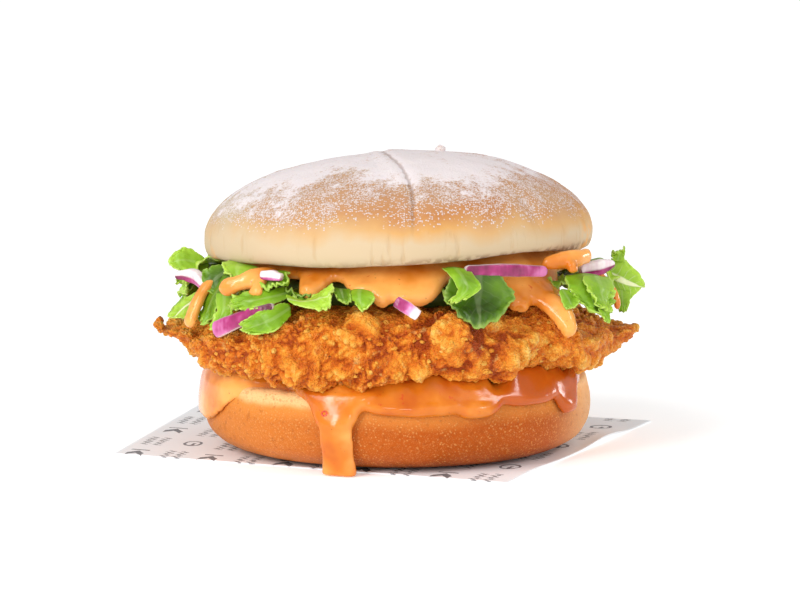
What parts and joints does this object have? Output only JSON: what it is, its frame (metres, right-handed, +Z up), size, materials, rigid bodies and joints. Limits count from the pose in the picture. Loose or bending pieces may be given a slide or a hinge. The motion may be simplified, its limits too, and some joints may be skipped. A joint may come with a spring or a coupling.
{
  "type": "chicken burger",
  "caption": "Fried chicken fillet with lettuce, red onion and orange sauce in a floured soft roll, standing on a sheet of printed burger paper.",
  "frame": {"origin": "on the table under the roll's axis, at the underside of the paper", "axes": "+Z up, -Y towards the front of the burger, +X to the right seen from the front"},
  "size_m": [0.157, 0.1575, 0.085],
  "materials": {
    "paper": "matt greaseproof paper",
    "crust": "baked, floured crust",
    "sauce": "glossy sauce",
    "coating": "fried crumb coating",
    "leaf": "fresh leaf",
    "onion": "fresh cut onion"
  },
  "bodies": {
    "root": {"paper": "paper", "bun_heel": "crust", "sauce_heel": "sauce", "chicken": "coating", "lettuce": "leaf", "sauce_crown": "sauce", "bun_crown": "crust", "onion_1": "onion", "onion_2": "onion", "onion_3": "onion", "onion_4": "onion", "onion_5": "onion", "onion_6": "onion", "onion_7": "onion", "onion_8": "onion", "onion_9": "onion", "onion_10": "onion"}
  },
  "joints": []
}
